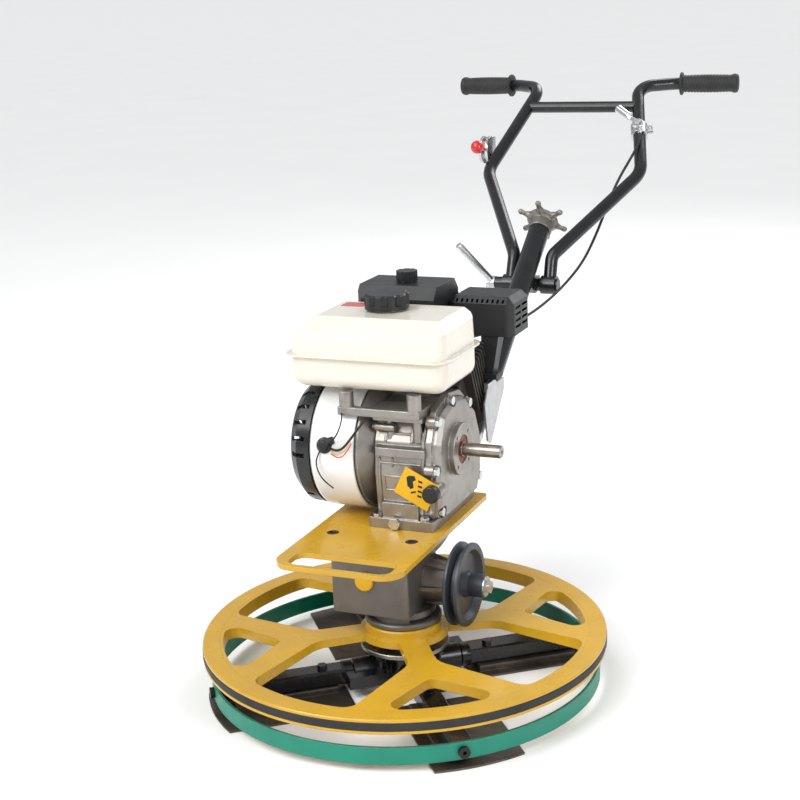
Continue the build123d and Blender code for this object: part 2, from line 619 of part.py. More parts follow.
def fuel_tank():
    x0, x1 = TANK_X
    y0, y1 = TANK_Y
    pan = box(x0 + 7, x1 - 7, y0 + 7, y1 - 7, TANK_BOTTOM, TANK_SEAM)
    pan = fillet(pan.edges().filter_by(Axis.Z), 24)
    pan = fillet(pan.edges().group_by(Axis.Z)[0], 20)
    lip = fillet(box(x0, x1, y0, y1, TANK_SEAM - 1.5, TANK_SEAM + 1.5).edges().filter_by(Axis.Z), 26)
    profile = make_face(Plane.XZ * Polyline(
        (x0 + 8, TANK_SEAM), (x0 + 12, 506), (x0 + 44, TANK_TOP), (x1 - 24, TANK_TOP), (x1 - 9, TANK_TOP - 16),
        (x1 - 8, TANK_SEAM), close=True))
    hood = Pos(0, y0, 0) * extrude(profile, y1 - y0, dir=(0, 1, 0))
    hood &= slab([(y0 + 8, TANK_SEAM), (y0 + 10, 508), (y0 + 42, TANK_TOP + 1), (y1 - 20, TANK_TOP + 1),
                  (y1 - 10, TANK_TOP - 14), (y1 - 8, TANK_SEAM)], x0, x1)
    hood = fillet(hood.edges().filter_by(lambda e: e.center().Z < 508 and abs((e % 0.5).Z) > 0.8), 18)
    hood += cyl(24, TANK_TOP - 4, TANK_TOP + 3, *CAP_XY)
    tank = pan + lip + hood
    inside = box(x0 + 34, x1 - 34, y0 + 30, y1 - 26, TANK_BOTTOM + 14, TANK_TOP - 14)
    return tank - inside - cyl(19, TANK_TOP - 20, TANK_TOP + 5, *CAP_XY)


def fuel_cap():
    low, high = TANK_TOP + 3.3, TANK_TOP + 26
    cap = cyl(34, low, high, *CAP_XY)
    for k in range(10):
        turn = math.radians(36 * k)
        cap -= cyl(6, low + 6, high + 1, CAP_XY[0] + 37 * math.cos(turn), CAP_XY[1] + 37 * math.sin(turn))
    cap = chamfer(cap.edges().group_by(Axis.Z)[-1], 2)
    return cap - cyl(25, low - 1, low + 8, *CAP_XY)


def air_cleaner():
    body = slab([(226, 486), (226, 530), (242, 549), (318, 549), (334, 530), (334, 486)], -158, -26)
    body = chamfer(body.edges().filter_by(Axis.Z, tolerance=40).group_by(Axis.X)[0], 8)
    body = body + box(-96, -74, 236, 270, 440, 487)
    return body - cyl(3, 530, 560, *KNOB_XY)


KNOB_XY = (-92.0, 280.0)


def air_cleaner_knob():
    knob = cyl(17, 549 + GAP, 566, *KNOB_XY)
    for k in range(8):
        turn = math.radians(45 * k)
        knob -= cyl(3.5, 550, 570, KNOB_XY[0] + 18.5 * math.cos(turn), KNOB_XY[1] + 18.5 * math.sin(turn))
    return knob + cyl(3 - FIT, 536, 550, *KNOB_XY)


MUFFLER_X = (-25.0, 84.0)
MUFFLER_Y = (280.0, 366.0)
MUFFLER_Z = (465.0, 527.0)


def muffler():
    """Canister inside the cover, with the tapered neck down to the exhaust port."""
    can = cyl_x(24, MUFFLER_X[0] + 8, MUFFLER_X[1] - 8, 323, 496)
    neck = loft([Pos(46, 300, MUFFLER_Z[0] + 25) * Rectangle(34, 32), Pos(40, 291, 404) * Rectangle(18, 22)])
    flange = Pos(40, 290, 400) * Box(34, 30, 8)
    return can + neck + flange + box(16, 42, 278, 300, 392, 398) - cylinder()


def muffler_cover():
    x0, x1 = MUFFLER_X
    y0, y1 = MUFFLER_Y
    z0, z1 = MUFFLER_Z
    shell = box(x0, x1, y0, y1, z0, z1)
    shell = fillet(shell.edges().filter_by(Axis.Z), 13)
    shell = chamfer(shell.edges().group_by(Axis.Z)[-1], 10)
    room = box(x0 + 3, x1 - 3, y0 + 3, y1 - 3, z0 + 2, z1 - 3)
    room = fillet(room.edges().filter_by(Axis.Z), 10)
    shell -= chamfer(room.edges().group_by(Axis.Z)[-1], 9)
    shell -= box(26, 66, y0 + 2, 322, z0 - 1, z0 + 3)
    for row in range(4):
        z = z0 + 11 + 10 * row
        for start in (y0 + 14, y0 + 46):
            shell -= box(x1 - 5, x1 + 1, start, start + 26, z, z + 4.5)
    for col in range(10):
        x = x0 + 14 + 8.5 * col
        shell -= box(x, x + 3.5, y0 - 1, y0 + 12, z1 - 9, z1 - 4)
    return shell


def stay_plate():
    plate = slab([(256, 300), (270, 292), (338, 366), (338, 384), (262, 384), (246, 362)], 44, 47)
    plate += slab([(262, 378), (300, 378), (300, 392), (262, 392)], 40, 47)
    return plate + slab([(262, 330), (290, 330), (290, 352), (262, 352)], 30, 44) - cylinder()


def oil_dipstick():
    knob = cyl_y(13, 30, 42.7, 36, 282)
    knob = fillet(knob.edges().group_by(Axis.Y)[0], 3)
    return knob + cyl_y(6 - FIT, 42, 61, 36, 282)


def oil_tag():
    """Blank card held between the dipstick's head and its boss."""
    tag = Pos(10, 43.5, 286) * Rot(90, 0, 0) * Rot(0, 0, -27) * Box(58, 46, 1)
    return tag - cyl_y(6.5, 30, 50, 36, 282)


# ---- handle ----
def main_tube():
    tube = pipe([TUBE_START, TUBE_BEND, TUBE_END], 110, TUBE_R, TUBE_R - TUBE_WALL)
    bracket = slab([(676, 462), (700, 478), (728, 474), (722, 448), (700, 446)], HANDLE_X - 14, HANDLE_X + 14)
    core = pipe([TUBE_START, TUBE_BEND, TUBE_END], 110, TUBE_R - 1)
    tube += bracket - core
    return tube + cyl_x(PIVOT_R, HANDLE_X - 66, HANDLE_X + 54, *PIVOT[1:])


HANDLE_RISE = math.atan2(TUBE_END[2] - TUBE_BEND[2], TUBE_END[1] - TUBE_BEND[1])
RISE_DIR = Vector(0, math.cos(HANDLE_RISE), math.sin(HANDLE_RISE))


def handwheel():
    """Six-lobed cast wheel on a sleeve over the tube's end, with the pitch screw inside."""
    sleeve = cyl(22.5, -16, 18) - cyl(TUBE_R + FIT, -17, 0.5)
    star = Circle(32)
    for k in range(6):
        turn = math.radians(60 * k + 30)
        star += Pos(44 * math.cos(turn), 44 * math.sin(turn)) * Circle(6)
        star += Rot(0, 0, 60 * k + 30) * Pos(30, 0) * Rectangle(28, 9)
    star = fillet(star.vertices(), 3.5)
    wheel = sleeve + Pos(0, 0, 8) * extrude(star, 10) + cyl(8, -150, 2)
    wheel = wheel - cyl(5, 10, 19)
    seat = Plane(Vector(*TUBE_END), x_dir=(1, 0, 0), z_dir=RISE_DIR)
    return seat * wheel


def side_route(side):
    """Corner points of a handlebar tube from the pivot lug to the grip, side is -1 or 1."""
    stations = [(36.5, 716, 470), (36, 732, 510), (153.5, 924, 638), (100, 1106, 784), (165, 1150, 786),
                (284, 1159, 785)]
    return [(HANDLE_X + side * half, y, z) for half, y, z in stations]


SIDE_BENDS = [26, 60, 42, 60]
BAR_WALL = 2.2


def side_bar(side):
    """The tube's outer shape, solid."""
    return pipe(side_route(side), SIDE_BENDS, BAR_R)


def side_tube(side):
    tube = pipe(side_route(side), SIDE_BENDS, BAR_R, BAR_R - BAR_WALL)
    middle = HANDLE_X + side * 36.5
    lug = cyl_x(17, middle - 14, middle + 14, *PIVOT[1:])
    return tube + lug - cyl_x(PIVOT_R + FIT, HANDLE_X - 80, HANDLE_X + 80, *PIVOT[1:])


CROSSBAR_YZ = (1062.0, 749.0)


def crossbar(bars):
    bar = cyl_x(11, HANDLE_X - 113, HANDLE_X + 113, *CROSSBAR_YZ)
    for side in bars:
        bar -= side
    bar -= cyl_x(11 - BAR_WALL, HANDLE_X - 113, HANDLE_X + 113, *CROSSBAR_YZ)
    return bar.solids().sort_by(SortBy.VOLUME)[-1]


def grip(side):
    x0, x1 = HANDLE_X + side * 176, HANDLE_X + side * 290
    start, end = Vector(x0, 1150.9, 785.9), Vector(x1, 1159.5, 785)
    length = (end - start).length
    body = turned_z([(0, 0), (23, 0), (23, 3), (17, 7), (15.5, 12), (14, length - 8), (17.5, length - 4),
                     (17.5, length), (0, length)])
    return Plane(start, z_dir=end - start) * body


# ---- controls ----
def clamp_lever():
    hub = cyl_x(13, HANDLE_X - 82, HANDLE_X - 66.3, *PIVOT[1:])
    arm_rod = rod((HANDLE_X - 74, 706, 466), (-146, 652, 540), 6.5)
    return hub + fillet(arm_rod.edges().group_by(Axis.Z)[-1], 2)


THROTTLE = (-195.0, 950.0, 676.0)


def throttle_bracket():
    """Slotted quadrant clamped to the left tube."""
    x, y, z = THROTTLE
    quadrant = cyl_x(27, x - 9, x + 9, y + 6, z) - cyl_x(17, x - 6, x + 6, y + 6, z) - box(
        x - 20, x + 20, y + 8, y + 40, z - 40, z + 40)
    quadrant -= box(x - 4, x + 4, y - 40, y + 4, z - 40, z + 40)
    cheeks = box(x + 6, x + 9, y - 18, y + 30, z - 24, z + 24) + box(x - 9, x - 6, y - 10, y + 14, z - 20, z + 20)
    return quadrant + cheeks


def throttle_lever():
    x, y, z = THROTTLE
    pivot = cyl_x(8, x - 3.5, x + 3.5, y + 6, z)
    stem = rod((x, y, z), (x, y - 44, z + 10), 3.2)
    ball = Pos(x, y - 52, z + 12) * Sphere(13)
    return pivot + stem + ball


CLUTCH = (98.2, 1010.0, 707.0)
TUBE_LEAN = 13.0
CABLE_ROUTE = [(106, 983.3, 705.4), (111, 963, 692), (104, 937, 670), (84, 899, 625), (72, 862, 577),
               (63, 821, 532), (53, 773, 493), (39, 719, 466), (28, 661, 449), (18, 600, 438), (4, 541, 430),
               (-23, 485, 423), (-61, 437, 418), (-100, 396, 418), (-100, 345, 418)]
CABLE_EASE = 0.45
CABLE_R = 2.5


def clutch_plane():
    """Local frame at the clutch clamp: x to the side, y up along the handle, z out of it."""
    along = Vector(0, 0.78, 0.626)
    return Plane(Vector(*CLUTCH), x_dir=(1, 0, 0), z_dir=Vector(1, 0, 0).cross(along))


def clutch_bracket():
    sleeve = Rot(0, 0, TUBE_LEAN) * (cyl_y(16.5, -15, 13) - cyl_y(BAR_R, -20, 20))
    boss = cyl(8, 13, 19.2) + cyl(3.5, 18, 27)
    nut = Pos(0, 0, 24) * hex_head(12, 4)
    ears = Rot(0, 0, TUBE_LEAN) * (box(14, 26, -6, 6, -5, -2) + box(14, 26, -6, 6, 1, 4) + cyl(3, -10, 9, 21, 0))
    barrel = Pos(6, -14, 15.5) * Rot(0, 0, TUBE_LEAN) * cyl_y(3.7, -8, 6)
    body = sleeve + boss + nut + ears + barrel - Rot(0, 0, TUBE_LEAN) * cyl_y(BAR_R, -20, 20)
    return clutch_plane() * body


def clutch_lever():
    disc = cyl(10.5, 19.5, 23.7)
    strap = box(0, 28, -4.5, 4.5, 20.5, 23.5)
    handle = fillet(cyl_x(8, 24, 62, 0, 22.5).edges(), 3)
    lever = Rot(0, 0, 140) * (disc + strap + handle) - cyl(3.5 + FIT, 10, 30)
    return clutch_plane() * lever


def cable_bends():
    """Largest arc that each corner of the cable's route leaves room for."""
    bends = []
    for before, corner, after in zip(CABLE_ROUTE, CABLE_ROUTE[1:], CABLE_ROUTE[2:]):
        arriving = Vector(*corner) - Vector(*before)
        leaving = Vector(*after) - Vector(*corner)
        half_turn = math.radians(arriving.get_angle(leaving)) / 2
        bends.append(CABLE_EASE * min(arriving.length, leaving.length) / math.tan(half_turn))
    return bends


def control_cable():
    return pipe(CABLE_ROUTE, cable_bends(), CABLE_R)


def cable_stop():
    return cyl_y(6, 318, 345, -100, 418)


def build():
    save("spider_hub", spider_hub())
    for i in range(ARM_COUNT):
        turn = Rot(0, 0, ARM_ANGLE + 90 * i)
        save(f"arm_{i + 1}", turn * arm(), *[turn * screw for screw in arm_screws()])
        save(f"blade_{i + 1}", turn * blade())
    save("stabiliser_ring", stabiliser_ring())
    save("ring_screws", *ring_screws())
    save("wear_plate", wear_plate())
    save("pitch_sleeve", pitch_sleeve())
    save("pitch_yoke", pitch_yoke())
    save("yoke_pin", yoke_pin())
    save("guard_wheel", guard_wheel())
    save("guard_bumper", guard_bumper())
    save("bearing_flange", bearing_flange())
    save("gearbox_housing", gearbox_housing())
    save("gearbox_cover", gearbox_cover())
    save("bearings", guard_bearing(), *bearings())
    save("worm_shaft", worm_shaft())
    save("worm_wheel", worm_wheel())
    save("output_shaft", output_shaft())
    save("input_pulley", input_pulley())
    save("pulley_bolt", pulley_bolt())
    save("oil_plug", oil_plug())
    save("engine_plate", engine_plate())
    save("deck_bolts", *deck_bolts())
    save("crankcase", crankcase())
    save("crankcase_cover", crankcase_cover())
    save("case_bolts", *case_bolts())
    save("shaft_seal", shaft_seal())
    save("crankshaft", crankshaft())
    save("flywheel", flywheel())
    save("cylinder", cylinder())
    save("fan_shroud", fan_shroud() + cable_stop())
    save("recoil_cover", recoil_cover())
    save("starter_grip", starter_grip())
    save("fuel_tank", fuel_tank())
    save("fuel_cap", fuel_cap())
    save("air_cleaner", air_cleaner())
    save("air_cleaner_knob", air_cleaner_knob())
    save("muffler", muffler())
    save("muffler_cover", muffler_cover())
    save("stay_plate", stay_plate())
    save("oil_dipstick", oil_dipstick())
    save("oil_tag", oil_tag())
    save("main_tube", main_tube())
    save("handwheel", handwheel())
    bars = [side_bar(-1), side_bar(1)]
    save("handlebar_left", side_tube(-1))
    save("handlebar_right", side_tube(1))
    save("handlebar_crossbar", crossbar(bars))
    save("handle_grips", grip(-1) - bars[0], grip(1) - bars[1])
    save("clamp_lever", clamp_lever())
    save("throttle_bracket", throttle_bracket() - bars[0])
    save("throttle_lever", throttle_lever())
    save("clutch_bracket", clutch_bracket() - bars[1])
    save("clutch_lever", clutch_lever())
    save("control_cable", control_cable())
    print("cable bend radii (mm):", [round(radius) for radius in cable_bends()])


build()
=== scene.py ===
import json
import math

import bmesh
import bpy
from mathutils import Matrix, Vector


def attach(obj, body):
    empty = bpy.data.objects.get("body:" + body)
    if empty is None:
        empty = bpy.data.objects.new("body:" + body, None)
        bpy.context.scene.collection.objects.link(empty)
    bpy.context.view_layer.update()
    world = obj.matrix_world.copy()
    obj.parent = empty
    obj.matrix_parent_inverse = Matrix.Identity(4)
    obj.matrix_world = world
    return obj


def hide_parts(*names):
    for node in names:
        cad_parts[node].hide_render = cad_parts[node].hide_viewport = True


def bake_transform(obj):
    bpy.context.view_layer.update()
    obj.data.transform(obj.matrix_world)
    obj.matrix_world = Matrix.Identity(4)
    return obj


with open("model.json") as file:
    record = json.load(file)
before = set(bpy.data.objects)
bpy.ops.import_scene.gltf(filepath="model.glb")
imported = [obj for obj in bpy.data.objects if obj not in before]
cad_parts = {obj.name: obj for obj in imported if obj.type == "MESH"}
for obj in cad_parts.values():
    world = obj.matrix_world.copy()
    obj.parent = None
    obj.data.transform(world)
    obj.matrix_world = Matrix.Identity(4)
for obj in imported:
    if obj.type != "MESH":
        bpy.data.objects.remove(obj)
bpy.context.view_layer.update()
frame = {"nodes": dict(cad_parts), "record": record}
NODES = frame["nodes"]
MM = 0.001
UP = Vector((0, 0, 1))
ROUGH_SPREAD = 0.12
FLOOR_HALF = 150


# ---- materials ----
def finish(name, colour, rough, metallic=0.0, patch=14.0, grain=500.0, bump=0.12, depth=0.0002,
           spread=0.10, coat=0.0, worn=None, wear=0.35, stretch=(1, 1, 1), edge=0.0012, mottle=None,
           mottled=0.0):
    """Object-space surface with patchy tone, grain relief and softened edges, worn to a colour if given."""
    mat = bpy.data.materials.new(name)
    mat.use_nodes = True
    nodes, links = mat.node_tree.nodes, mat.node_tree.links
    shader = nodes["Principled BSDF"]
    shader.inputs["Metallic"].default_value = metallic
    shader.inputs["Coat Weight"].default_value = coat
    shader.inputs["Coat Roughness"].default_value = 0.12
    place = nodes.new("ShaderNodeTexCoord")
    lay = nodes.new("ShaderNodeMapping")
    lay.inputs["Scale"].default_value = stretch
    links.new(place.outputs["Object"], lay.inputs["Vector"])

    def noise(scale, detail=4.0):
        node = nodes.new("ShaderNodeTexNoise")
        node.inputs["Scale"].default_value = scale
        node.inputs["Detail"].default_value = detail
        links.new(lay.outputs["Vector"], node.inputs["Vector"])
        return node.outputs["Fac"]

    def ramp(source, low, high, first, second):
        node = nodes.new("ShaderNodeValToRGB")
        node.color_ramp.elements[0].position = low
        node.color_ramp.elements[0].color = first
        node.color_ramp.elements[1].position = high
        node.color_ramp.elements[1].color = second
        links.new(source, node.inputs["Fac"])
        return node.outputs["Color"]

    def blend(factor, first, second):
        node = nodes.new("ShaderNodeMix")
        node.data_type = "RGBA"
        links.new(factor, node.inputs[0])
        links.new(first, node.inputs[6])
        links.new(second, node.inputs[7])
        return node.outputs[2]

    def flat(value):
        node = nodes.new("ShaderNodeRGB")
        node.outputs[0].default_value = (*value, 1)
        return node.outputs[0]

    dark = tuple(c * (1 - spread) for c in colour) + (1,)
    light = tuple(min(1, c * (1 + spread)) for c in colour) + (1,)
    tone = ramp(noise(patch), 0.3, 0.7, dark, light)
    if mottle:
        spots = ramp(noise(patch * 3.1, 8), 0.52, 0.77, (0, 0, 0, 1), (mottled,) * 3 + (1,))
        tone = blend(spots, tone, flat(mottle))
    soft = nodes.new("ShaderNodeBevel")
    soft.samples = 4
    soft.inputs["Radius"].default_value = edge
    if worn:
        face = nodes.new("ShaderNodeNewGeometry")
        turn = nodes.new("ShaderNodeVectorMath")
        turn.operation = "DOT_PRODUCT"
        links.new(soft.outputs["Normal"], turn.inputs[0])
        links.new(face.outputs["Normal"], turn.inputs[1])
        near = ramp(turn.outputs["Value"], 0.72, 0.97, (wear,) * 3 + (1,), (0, 0, 0, 1))
        broken = nodes.new("ShaderNodeMath")
        broken.operation = "MULTIPLY"
        links.new(near, broken.inputs[0])
        links.new(ramp(noise(140, 6), 0.42, 0.6, (0, 0, 0, 1), (1, 1, 1, 1)), broken.inputs[1])
        tone = blend(broken.outputs[0], tone, flat(worn))
    links.new(tone, shader.inputs["Base Color"])
    low, high = rough - ROUGH_SPREAD / 2, rough + ROUGH_SPREAD / 2
    sheen = ramp(noise(patch * 2.3, 6), 0.3, 0.7, (low,) * 3 + (1,), (high,) * 3 + (1,))
    links.new(sheen, shader.inputs["Roughness"])
    relief = nodes.new("ShaderNodeBump")
    relief.inputs["Strength"].default_value = bump
    relief.inputs["Distance"].default_value = depth
    links.new(noise(grain, 3), relief.inputs["Height"])
    links.new(soft.outputs["Normal"], relief.inputs["Normal"])
    links.new(relief.outputs["Normal"], shader.inputs["Normal"])
    return mat


fin_iron = finish("fin_iron", (0.075, 0.066, 0.058), 0.5, metallic=0.6, grain=420, bump=0.5,
                  depth=0.0004, spread=0.2, worn=(0.24, 0.23, 0.21), wear=0.8,
                  mottle=(0.03, 0.027, 0.025), mottled=0.5)
galvanised = finish("galvanised_sheet", (0.50, 0.51, 0.52), 0.38, metallic=1.0, patch=90, grain=300,
                    bump=0.1, spread=0.10, stretch=(1, 1, 0.6), mottle=(0.40, 0.41, 0.42), mottled=0.5)
drum_white = finish("drum_white", (0.80, 0.81, 0.80), 0.26, grain=220, bump=0.03, spread=0.012,
                    coat=0.5, edge=0.003, mottle=(0.72, 0.72, 0.70), mottled=0.12)

FINISH = {
    "yellow_paint": finish("yellow_paint", (0.57, 0.325, 0.014), 0.3, spread=0.07, grain=260, bump=0.25,
                           coat=0.25, worn=(0.30, 0.16, 0.02), wear=0.5, mottle=(0.46, 0.25, 0.02),
                           mottled=0.25),
    "green_paint": finish("green_paint", (0.0, 0.215, 0.14), 0.38, grain=300, bump=0.2, spread=0.10,
                          worn=(0.30, 0.30, 0.28), wear=1.0, edge=0.002, mottle=(0.01, 0.14, 0.10),
                          mottled=0.35),
    "black_paint": finish("black_paint", (0.006, 0.0065, 0.008), 0.26, grain=350, bump=0.12,
                          spread=0.25, coat=0.1, worn=(0.06, 0.06, 0.065), wear=0.6),
    "black_heat_paint": finish("black_heat_paint", (0.009, 0.0095, 0.011), 0.46, grain=900, bump=0.25,
                               spread=0.2, worn=(0.07, 0.07, 0.075), wear=0.6),
    "cream_paint": finish("cream_paint", (0.74, 0.70, 0.61), 0.24, grain=220, bump=0.03, spread=0.012,
                          coat=0.5, edge=0.003, mottle=(0.70, 0.655, 0.56), mottled=0.10),
    "blade_steel": finish("blade_steel", (0.105, 0.088, 0.075), 0.42, metallic=0.75, grain=220,
                          bump=0.18, spread=0.25, stretch=(1, 3, 3), worn=(0.3, 0.29, 0.27), wear=0.7,
                          mottle=(0.035, 0.03, 0.028), mottled=0.6),
    "shaft_steel": finish("shaft_steel", (0.36, 0.335, 0.305), 0.32, metallic=1.0, grain=300, bump=0.15,
                          spread=0.18, stretch=(6, 1, 1), mottle=(0.20, 0.16, 0.12), mottled=0.5),
    "zinc_steel": finish("zinc_steel", (0.60, 0.61, 0.62), 0.3, metallic=1.0, grain=420, bump=0.15,
                         spread=0.15, patch=60, mottle=(0.52, 0.50, 0.38), mottled=0.5),
    "black_steel": finish("black_steel", (0.014, 0.014, 0.015), 0.38, metallic=0.4, grain=500, bump=0.2,
                          spread=0.2, worn=(0.12, 0.12, 0.12), wear=0.5),
    "cast_box": finish("cast_box", (0.19, 0.172, 0.155), 0.46, metallic=0.7, grain=420, bump=0.55,
                       depth=0.0005, spread=0.16, worn=(0.42, 0.40, 0.37), wear=0.8,
                       mottle=(0.12, 0.10, 0.085), mottled=0.55),
    "cast_case": finish("cast_case", (0.31, 0.29, 0.265), 0.36, metallic=0.85, grain=520, bump=0.45,
                        depth=0.0004, spread=0.16, worn=(0.72, 0.72, 0.71), wear=0.8,
                        mottle=(0.17, 0.14, 0.115), mottled=0.65, edge=0.002),
    "pulley_iron": finish("pulley_iron", (0.048, 0.054, 0.066), 0.42, metallic=0.35, grain=500,
                          bump=0.3, spread=0.14, worn=(0.16, 0.17, 0.19), wear=0.6),
    "wheel_iron": finish("wheel_iron", (0.26, 0.245, 0.225), 0.45, metallic=0.8, grain=480, bump=0.5,
                         depth=0.0004, spread=0.15, worn=(0.45, 0.44, 0.42), wear=0.7,
                         mottle=(0.13, 0.11, 0.095), mottled=0.5),
    "bronze": finish("bronze", (0.40, 0.24, 0.09), 0.35, metallic=1.0, grain=300, bump=0.15),
    "seal_rubber": finish("seal_rubber", (0.20, 0.045, 0.022), 0.5, grain=700, bump=0.2, spread=0.2,
                          mottle=(0.08, 0.03, 0.02), mottled=0.4),
    "black_rubber": finish("black_rubber", (0.013, 0.013, 0.013), 0.6, grain=800, bump=0.35,
                           spread=0.25, mottle=(0.06, 0.055, 0.05), mottled=0.25),
    "black_plastic": finish("black_plastic", (0.009, 0.0095, 0.011), 0.42, grain=1400, bump=0.35,
                            spread=0.15, worn=(0.05, 0.05, 0.055), wear=0.5),
    "yellow_plastic": finish("yellow_plastic", (0.72, 0.40, 0.005), 0.4, grain=500, bump=0.1,
                             spread=0.06, mottle=(0.55, 0.33, 0.01), mottled=0.3),
    "red_plastic": finish("red_plastic", (0.55, 0.012, 0.012), 0.22, grain=300, bump=0.04, spread=0.06,
                          coat=0.5),
    "chrome": finish("chrome", (0.66, 0.67, 0.68), 0.14, metallic=1.0, grain=300, bump=0.05,
                     spread=0.05),
}

for part in frame["record"]["subparts"]:
    item = NODES[part["node"]].data
    for k in range(len(item.materials)):
        item.materials[k] = FINISH[part["material_slot"]]


NODES["cylinder"].data.materials[0] = fin_iron
NODES["fan_shroud"].data.materials[0] = drum_white
NODES["stay_plate"].data.materials[0] = galvanised


# ---- piece helpers ----
def place(name, data, slot, replaced=()):
    """New piece with its slot's finish, standing for the replaced CAD nodes, not riding on a body yet."""
    piece = bpy.data.objects.new(name, data)
    bpy.context.scene.collection.objects.link(piece)
    data.materials.append(FINISH[slot])
    if replaced:
        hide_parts(*replaced)
    return piece


def add(name, data, slot, body, replaced=()):
    """New piece that rides on one body."""
    piece = place(name, data, slot, replaced)
    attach(piece, body)
    return piece


def to_mesh(bm, name, smooth=True):
    bmesh.ops.recalc_face_normals(bm, faces=bm.faces)
    data = bpy.data.meshes.new(name)
    bm.to_mesh(data)
    bm.free()
    for face in data.polygons:
        face.use_smooth = smooth
    return data


def on_circle(radius, angle):
    return radius * math.cos(angle), radius * math.sin(angle)


def axes(origin, z_dir):
    """Local frame in millimetres with its z along z_dir, its origin given in millimetres too."""
    z = Vector(z_dir).normalized()
    x = Vector((1, 0, 0))
    x = (x - z * x.dot(z)).normalized()
    turn = Matrix((x, z.cross(x), z)).transposed().to_4x4()
    return Matrix.Translation(Vector(origin) * MM) @ turn @ Matrix.Scale(MM, 4)


def skin_over(bm, rings):
    """Joins rings of vertices one after another and closes both ends."""
    sides = len(rings[0])
    for low, high in zip(rings, rings[1:]):
        for k in range(sides):
            j = (k + 1) % sides
            bm.faces.new((low[k], low[j], high[j], high[k]))
    bm.faces.new(rings[0][::-1])
    bm.faces.new(rings[-1])


def turned(bm, profile, frame_matrix, sides=64):
    """Adds a solid of revolution, its profile points as (radius, height), closed at both ends."""
    rings = []
    for radius, height in profile:
        spots = [(*on_circle(radius, 2 * math.pi * k / sides), height) for k in range(sides)]
        rings.append([bm.verts.new(frame_matrix @ Vector(spot)) for spot in spots])
    skin_over(bm, rings)


def prism(bm, base, top):
    """Adds a solid between two outlines of the same number of points, given in millimetres."""
    skin_over(bm, [[bm.verts.new(Vector(spot) * MM) for spot in outline] for outline in (base, top)])


def spline_points(points):
    """Points along the smooth NURBS line through a route given in millimetres, in metres."""
    data = bpy.data.curves.new("route", "CURVE")
    data.dimensions = "3D"
    data.resolution_u = 12
    line = data.splines.new("NURBS")
    line.points.add(len(points) - 1)
    for point, spot in zip(line.points, points):
        point.co = (*(Vector(spot) * MM), 1)
    line.order_u = 3
    line.use_endpoint_u = True
    holder = bpy.data.objects.new("route", data)
    bpy.context.scene.collection.objects.link(holder)
    drawn = bpy.data.meshes.new_from_object(holder)
    route = [vertex.co.copy() for vertex in drawn.vertices]
    bpy.data.objects.remove(holder)
    return route


def tube(bm, route, radii, sides=14):
    """Adds a round tube along a route in metres, with one radius in millimetres or one for each point."""
    if not isinstance(radii, tuple):
        radii = (radii,) * len(route)
    side = None
    rings = []
    for k, (spot, radius) in enumerate(zip(route, radii)):
        ahead = (route[min(k + 1, len(route) - 1)] - route[max(k - 1, 0)]).normalized()
        side = (side - ahead * side.dot(ahead)) if side else ahead.orthogonal()
        side.normalize()
        other = ahead.cross(side)
        ring = []
        for j in range(sides):
            u, v = on_circle(radius * MM, 2 * math.pi * j / sides)
            ring.append(bm.verts.new(spot + side * u + other * v))
        rings.append(ring)
    skin_over(bm, rings)


def fused(bm, name, voxel, rounds):
    """Mesh of everything in bm fused into one skin and smoothed, as a casting is."""
    item = bpy.data.objects.new(name, to_mesh(bm, name))
    bpy.context.scene.collection.objects.link(item)
    skin = item.modifiers.new("skin", "REMESH")
    skin.mode = "VOXEL"
    skin.voxel_size = voxel * MM
    soft = item.modifiers.new("soft", "SMOOTH")
    soft.factor = 0.5
    soft.iterations = rounds
    bpy.context.view_layer.update()
    data = bpy.data.meshes.new_from_object(item.evaluated_get(bpy.context.evaluated_depsgraph_get()))
    for face in data.polygons:
        face.use_smooth = True
    bpy.data.objects.remove(item)
    return data


def straight(start, end, steps=2):
    low, high = Vector(start) * MM, Vector(end) * MM
    return [low.lerp(high, k / (steps - 1)) for k in range(steps)]


HANDLE_X = -30
DECK_TOP = 218
TANK_TOP = 533
TAG_FACE = 43.0

# ---- control cable ----
CABLE = [(106, 983.3, 705.4), (111, 963, 692), (104, 937, 670), (84, 899, 625), (72, 862, 577),
         (63, 821, 532), (53, 773, 493), (39, 719, 466), (28, 661, 449), (18, 600, 438), (4, 541, 430),
         (-23, 485, 423), (-61, 437, 418), (-100, 396, 418), (-100, 345, 418)]
CABLE_R = 2.5
cable_line = spline_points(CABLE)
bm = bmesh.new()
tube(bm, cable_line, CABLE_R)
cable = place("control_cable_run", to_mesh(bm, "control_cable_run"), "black_rubber", ("control_cable",))
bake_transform(cable)

# ---- pitch handwheel, a hub with six ball-tipped arms ----
HUB = [(2, -15.5), (22, -15.5), (22.4, -13), (22.4, 4), (25, 7), (29, 9), (30, 13), (27, 16.5), (20, 18),
       (9, 17.6), (8, 14), (2, 14)]
ARM_REACH = (22, 26, 30, 34, 38, 41, 44, 47, 49)
ARM_RADII = (8.6, 7.8, 6.4, 5.0, 4.6, 5.2, 5.6, 4.4, 1.8)
ARM_HEIGHT = 12.5
wheel = axes((HANDLE_X, 782, 558), (0, 0.8087, 0.5882))
bm = bmesh.new()
turned(bm, HUB, wheel)
for k in range(6):
    angle = math.radians(60 * k + 30)
    reach = [wheel @ Vector((*on_circle(r, angle), ARM_HEIGHT)) for r in ARM_REACH]
    tube(bm, reach, ARM_RADII, 16)
add("handwheel_star", fused(bm, "handwheel_star", 1.1, 4), "wheel_iron", "pitch_wheel", ("handwheel",))

